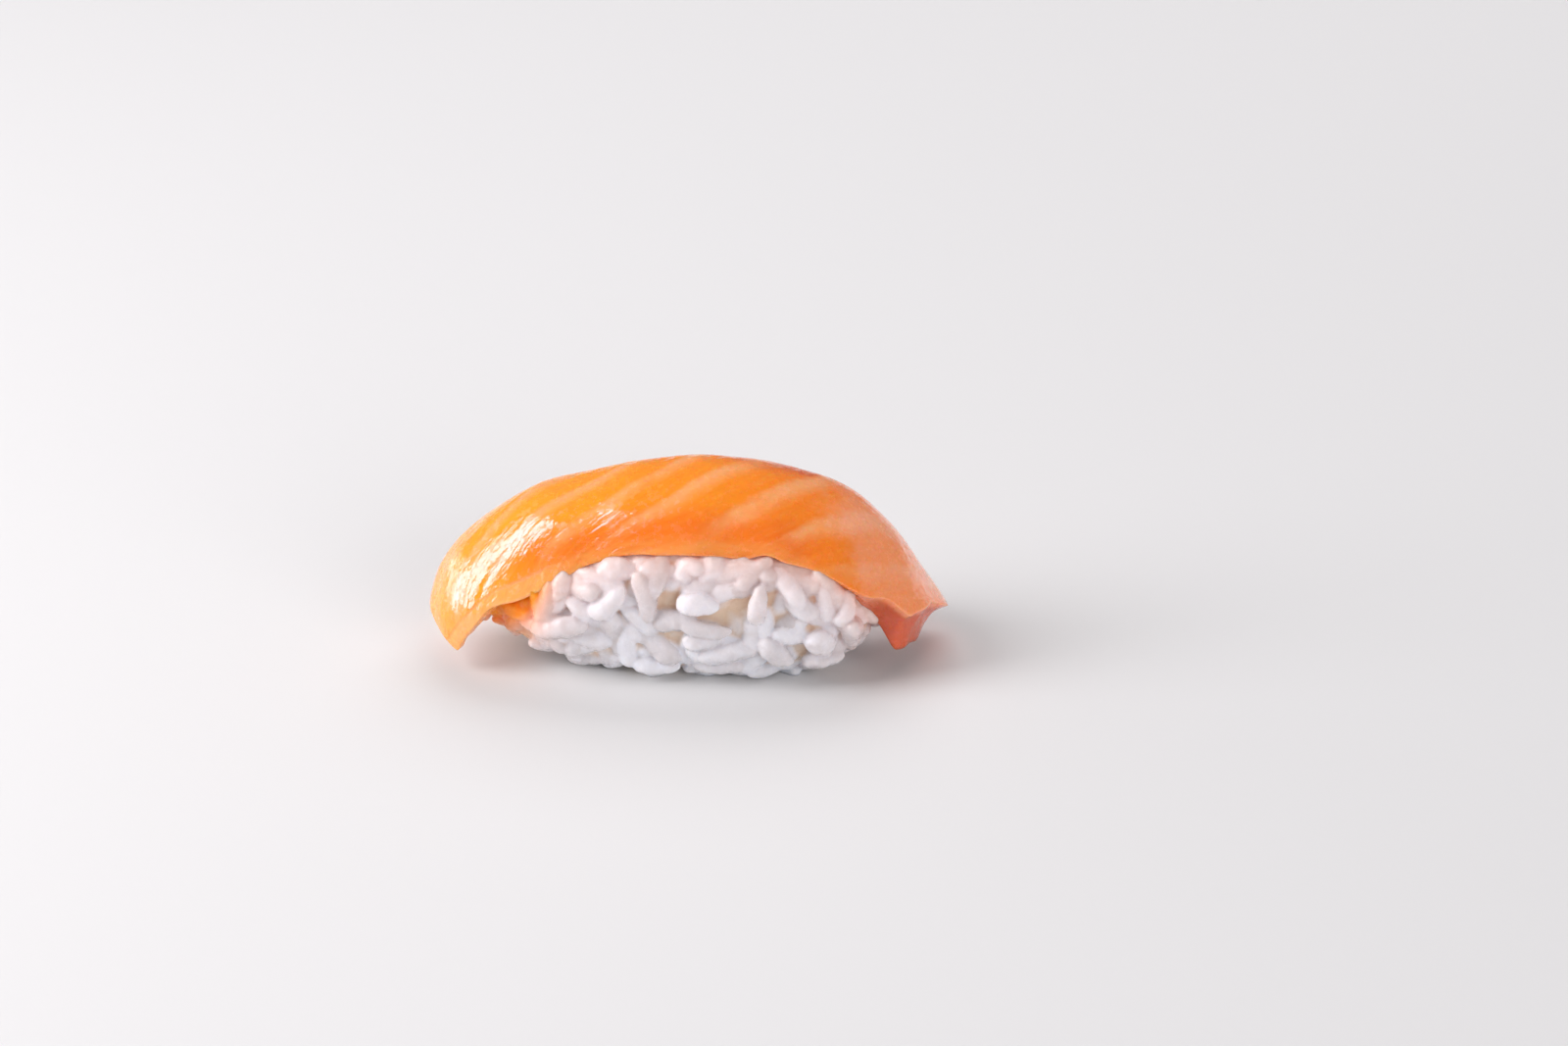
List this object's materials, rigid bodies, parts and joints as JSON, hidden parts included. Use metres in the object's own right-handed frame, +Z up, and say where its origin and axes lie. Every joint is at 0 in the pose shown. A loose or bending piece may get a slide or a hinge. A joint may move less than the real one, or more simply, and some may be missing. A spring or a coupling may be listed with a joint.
{
  "type": "salmon nigiri sushi",
  "caption": "Nigiri sushi: a hand-pressed loaf of rice grains with a slice of raw salmon draped over it and hanging past both ends.",
  "frame": {"origin": "under the middle of the whole, on the table", "axes": "+Z up, +X along the loaf towards the slice's square cut end, -Y towards the shown long side"},
  "size_m": [0.0636, 0.0246, 0.0248],
  "materials": {
    "rice": "satin, moist cooked rice",
    "salmon": "gloss, wet raw flesh"
  },
  "bodies": {
    "root": {"rice": "rice", "salmon": "salmon"}
  },
  "joints": []
}
